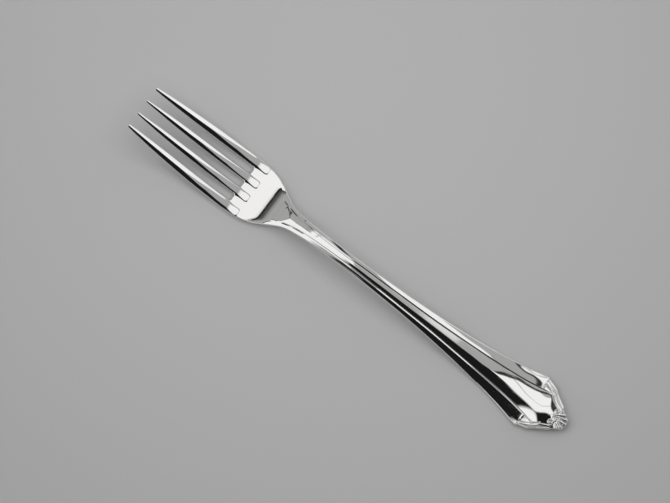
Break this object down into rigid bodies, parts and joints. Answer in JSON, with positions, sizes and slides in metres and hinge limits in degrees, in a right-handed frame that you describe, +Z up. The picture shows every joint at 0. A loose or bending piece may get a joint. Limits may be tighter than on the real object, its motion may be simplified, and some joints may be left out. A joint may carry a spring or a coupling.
{
  "type": "dinner fork",
  "caption": "Polished steel dinner fork with long pointed tines, a dished head, an arched neck and a fluted handle ending in a scalloped border with scrolls and a fan.",
  "frame": {"origin": "centre of the bounding box's underside, on the table that the fork lies on", "axes": "+X along the fork from the points of the tines to the end of the handle, +Z up out of the face that is seen when the fork lies on a table, +Y across it"},
  "size_m": [0.2, 0.0238, 0.014],
  "materials": {
    "polished_steel": "mirror-polished stainless steel, with fine scratches from use and a faint dark film in the grooves"
  },
  "bodies": {
    "root": {"left_outer_tine": "polished_steel", "left_middle_tine": "polished_steel", "right_middle_tine": "polished_steel", "right_outer_tine": "polished_steel", "head": "polished_steel", "neck": "polished_steel", "handle": "polished_steel"}
  },
  "joints": []
}
